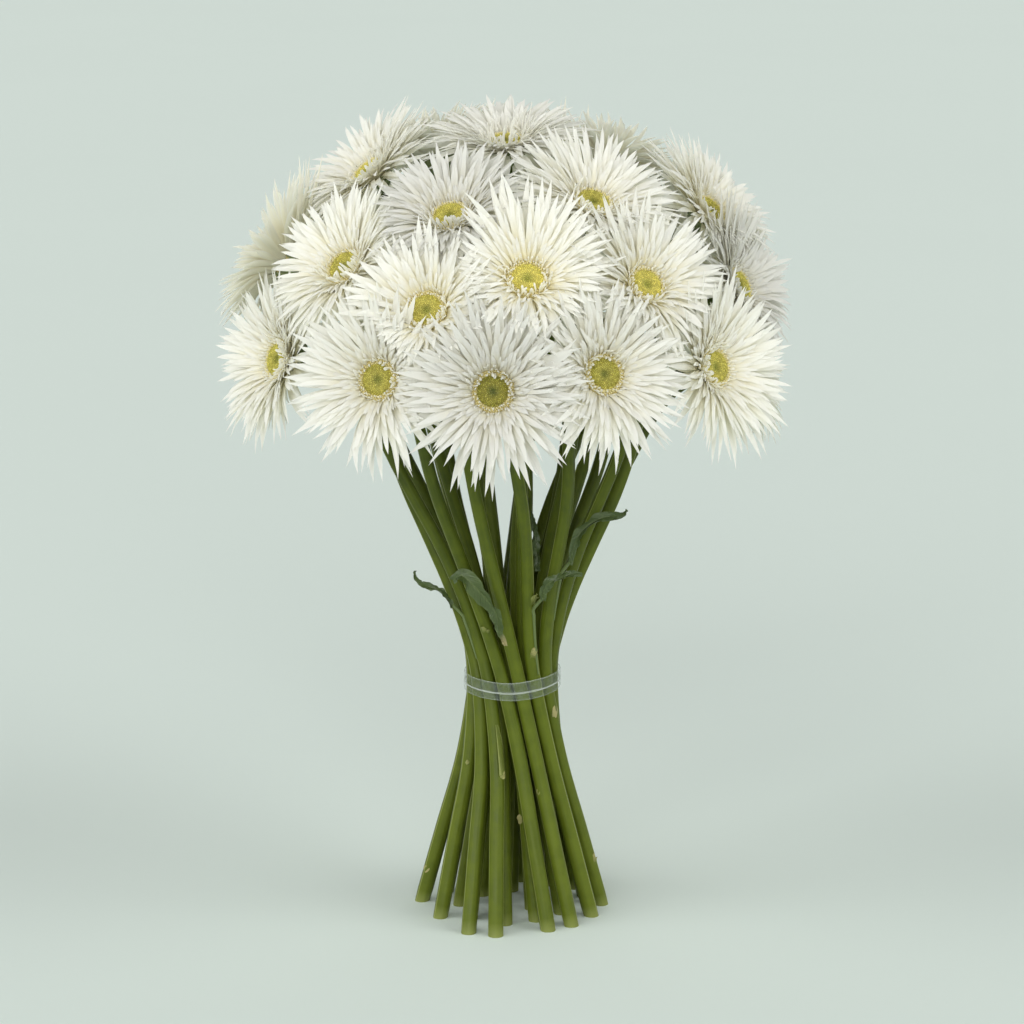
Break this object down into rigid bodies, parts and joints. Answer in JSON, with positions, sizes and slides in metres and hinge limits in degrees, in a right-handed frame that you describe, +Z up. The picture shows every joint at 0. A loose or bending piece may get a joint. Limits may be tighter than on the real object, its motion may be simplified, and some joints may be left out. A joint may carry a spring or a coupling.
{
  "type": "bunch of gerberas",
  "caption": "Hand-tied bunch of white spider gerberas: a dome of blooms on smooth green stems, crossed in a clear elastic tie and standing on their cut ends.",
  "frame": {"origin": "on the surface that the bunch stands on, below the middle of its outline", "axes": "+Z up along the bunch, from the cut ends to the blooms; -Y is the front; +X is to the right seen from the front"},
  "size_m": [0.3876, 0.3726, 0.5486],
  "materials": {
    "petal": "matte",
    "disc": "matte",
    "calyx": "matte",
    "stem": "satin",
    "leaf": "satin",
    "tie": "satin"
  },
  "bodies": {
    "root": {"bloom_01": "petal", "bloom_02": "petal", "bloom_03": "petal", "bloom_04": "petal", "bloom_05": "petal", "bloom_06": "petal", "bloom_07": "petal", "bloom_08": "petal", "bloom_09": "petal", "bloom_10": "petal", "bloom_11": "petal", "bloom_12": "petal", "bloom_13": "petal", "bloom_14": "petal", "bloom_15": "petal", "bloom_16": "petal", "bloom_17": "petal", "bloom_18": "petal", "bloom_19": "petal", "bloom_20": "petal", "bloom_21": "petal", "bloom_22": "petal", "bloom_23": "petal", "bloom_24": "petal", "bloom_25": "petal", "bloom_26": "petal", "bloom_27": "petal", "stem_01": "stem", "stem_02": "stem", "stem_03": "stem", "stem_04": "stem", "stem_05": "stem", "stem_06": "stem", "stem_07": "stem", "stem_08": "stem", "stem_09": "stem", "stem_10": "stem", "stem_11": "stem", "stem_12": "stem", "stem_13": "stem", "stem_14": "stem", "stem_15": "stem", "stem_16": "stem", "stem_17": "stem", "stem_18": "stem", "stem_19": "stem", "stem_20": "stem", "stem_21": "stem", "stem_22": "stem", "stem_23": "stem", "stem_24": "stem", "stem_25": "stem", "stem_26": "stem", "stem_27": "stem", "leaf_right_upper": "leaf", "leaf_left_curl": "leaf", "leaf_left_hanging": "leaf", "leaf_right_middle": "leaf", "leaf_inner": "leaf", "tie_band": "tie"}
  },
  "joints": []
}
